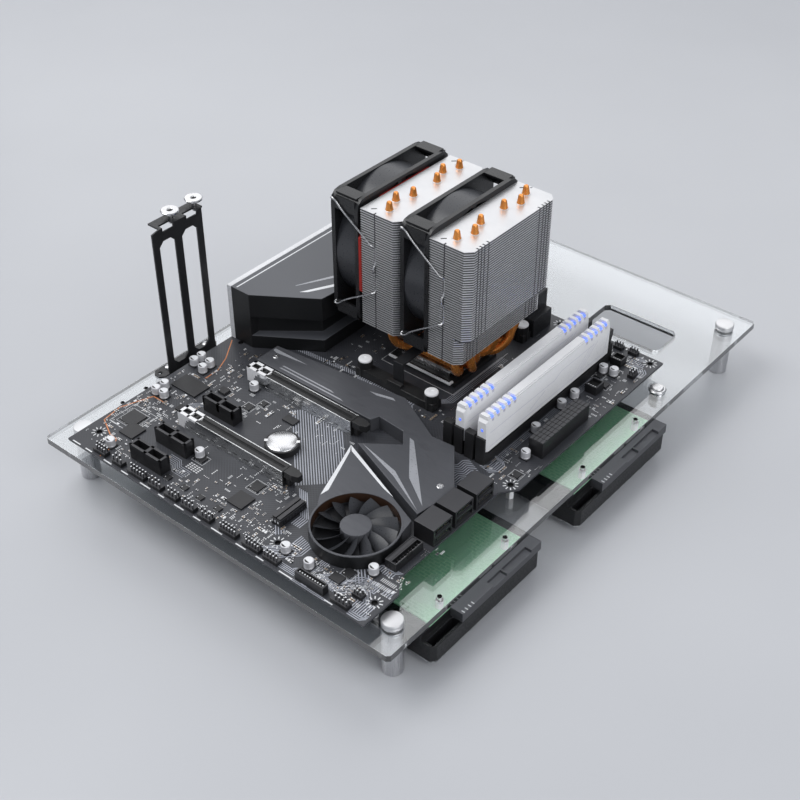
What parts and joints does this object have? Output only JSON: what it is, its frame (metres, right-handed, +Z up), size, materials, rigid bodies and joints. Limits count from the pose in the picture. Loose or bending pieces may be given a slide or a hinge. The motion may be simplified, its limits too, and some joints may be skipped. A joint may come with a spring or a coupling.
{
  "type": "open air test bench",
  "caption": "Clear plate on feet that holds a circuit board with a twin tower cooler, memory, slots and covers, a card bracket stand, and drives hung below.",
  "frame": {"origin": "on the floor under the middle of the bench's box", "axes": "+X from the board's rear ports to its front edge, +Y from the header edge to the processor edge, +Z up"},
  "size_m": [0.2906, 0.403, 0.1726],
  "materials": {
    "clear_acrylic": "clear, polished",
    "foot_metal": "knurled, satin",
    "standoff_nickel": "turned, plated",
    "stand_black": "satin black",
    "screw_steel": "bright",
    "button_steel": "satin",
    "board_black": "fine traces",
    "cover_black": "satin",
    "trim_white": "glossy",
    "port_steel": "plain",
    "heatsink_dark": "satin",
    "cover_grey": "brushed, satin",
    "fan_black": "satin",
    "gasket_red": "soft",
    "fin_aluminium": "bright",
    "pipe_copper": "copper",
    "base_aluminium": "machined",
    "clip_steel": "bright wire",
    "processor_lid": "plated",
    "socket_black": "moulded",
    "port_grey": "moulded",
    "cap_white": "moulded",
    "memory_board": "plain",
    "spreader_white": "white with blue lit notches",
    "shield_steel": "bright",
    "drive_black": "cast, satin",
    "drive_steel": "plain",
    "drive_green": "green lacquer",
    "cell_steel": "bright",
    "can_white": "bright top",
    "chip_black": "plain"
  },
  "bodies": {
    "bench": {"acrylic_plate": "clear_acrylic", "foot_posts": "foot_metal", "foot_caps": "foot_metal", "board_standoffs": "standoff_nickel", "drive_spacers": "standoff_nickel", "slot_bracket_stand": "stand_black", "bracket_thumbscrews": "screw_steel", "stand_screws": "screw_steel", "power_button_body": "button_steel", "circuit_board": "board_black", "io_cover": "cover_black", "io_cover_trim": "trim_white", "rear_ports": "port_steel", "supply_heatsink": "heatsink_dark", "chipset_cover": "cover_grey", "chipset_heatsink": "heatsink_dark", "m2_cover": "cover_grey", "m2_cover_screws": "screw_steel", "short_slots": "socket_black", "long_slots": "socket_black", "slot_shields": "shield_steel", "memory_slots": "socket_black", "memory_boards": "memory_board", "memory_spreaders": "spreader_white", "rear_fin_stack": "fin_aluminium", "front_fin_stack": "fin_aluminium", "heat_pipes": "pipe_copper", "cooler_base": "base_aluminium", "cooler_clip_bar": "clip_steel", "rear_fan_frame": "fan_black", "front_fan_frame": "fan_black", "fan_clips": "clip_steel", "fan_gasket": "gasket_red", "cpu_socket": "socket_black", "processor": "processor_lid", "cooler_brackets": "socket_black", "bracket_screw_caps": "cap_white", "drive_housings": "drive_black", "drive_lids": "drive_steel", "drive_circuit_boards": "drive_green", "drive_ports": "port_grey", "sata_ports": "socket_black", "main_power_socket": "socket_black", "pin_headers": "socket_black", "coin_cell": "cell_steel", "coin_cell_holder": "socket_black", "capacitors": "can_white", "board_chips": "chip_black"},
    "rear_rotor": {"rear_fan_rotor": "fan_black"},
    "front_rotor": {"front_fan_rotor": "fan_black"},
    "chipset_rotor": {"chipset_fan_rotor": "fan_black"},
    "power_button": {"power_button_cap": "button_steel"},
    "lever": {"socket_lever": "clip_steel"},
    "latch_1": {"memory_latch_1": "socket_black"},
    "latch_2": {"memory_latch_2": "socket_black"},
    "latch_3": {"memory_latch_3": "socket_black"},
    "latch_4": {"memory_latch_4": "socket_black"},
    "upper_card_latch": {"upper_slot_latch": "socket_black"},
    "lower_card_latch": {"lower_slot_latch": "socket_black"}
  },
  "joints": [
    {"name": "rear_fan_spin", "type": "hinge", "parent": "bench", "child": "rear_rotor", "pos_m": [-0.0442, 0.01865, 0.1256], "axis": [1, 0, 0], "continuous": true},
    {"name": "front_fan_spin", "type": "hinge", "parent": "bench", "child": "front_rotor", "pos_m": [0.0118, 0.01865, 0.1256], "axis": [1, 0, 0], "continuous": true},
    {"name": "chipset_fan_spin", "type": "hinge", "parent": "bench", "child": "chipset_rotor", "pos_m": [0.07215, -0.14965, 0.0506], "axis": [0, 0, 1], "continuous": true},
    {"name": "power_button_press", "type": "slide", "parent": "bench", "child": "power_button", "axis": [0, 0, -1], "range_m": [0, 0.001], "stiffness_N_per_m": 300, "springref_m": -0.001},
    {"name": "socket_lever_lift", "type": "hinge", "parent": "bench", "child": "lever", "pos_m": [0.02885, -0.00865, 0.0502], "axis": [0, 1, 0], "range_deg": [0, 6]},
    {"name": "memory_latch_1_tilt", "type": "hinge", "parent": "bench", "child": "latch_1", "pos_m": [0.06345, 0.08535, 0.0496], "axis": [-1, 0, 0], "range_deg": [0, 35]},
    {"name": "memory_latch_2_tilt", "type": "hinge", "parent": "bench", "child": "latch_2", "pos_m": [0.07175, 0.08535, 0.0496], "axis": [-1, 0, 0], "range_deg": [0, 35]},
    {"name": "memory_latch_3_tilt", "type": "hinge", "parent": "bench", "child": "latch_3", "pos_m": [0.08005, 0.08535, 0.0496], "axis": [-1, 0, 0], "range_deg": [0, 35]},
    {"name": "memory_latch_4_tilt", "type": "hinge", "parent": "bench", "child": "latch_4", "pos_m": [0.08835, 0.08535, 0.0496], "axis": [-1, 0, 0], "range_deg": [0, 35]},
    {"name": "upper_card_latch_tilt", "type": "hinge", "parent": "bench", "child": "upper_card_latch", "pos_m": [0.01355, -0.08099, 0.0478], "axis": [0, 1, 0], "range_deg": [0, 18], "stiffness_Nm_per_rad": 0.01},
    {"name": "lower_card_latch_tilt", "type": "hinge", "parent": "bench", "child": "lower_card_latch", "pos_m": [0.01355, -0.14195, 0.0478], "axis": [0, 1, 0], "range_deg": [0, 18], "stiffness_Nm_per_rad": 0.01}
  ]
}
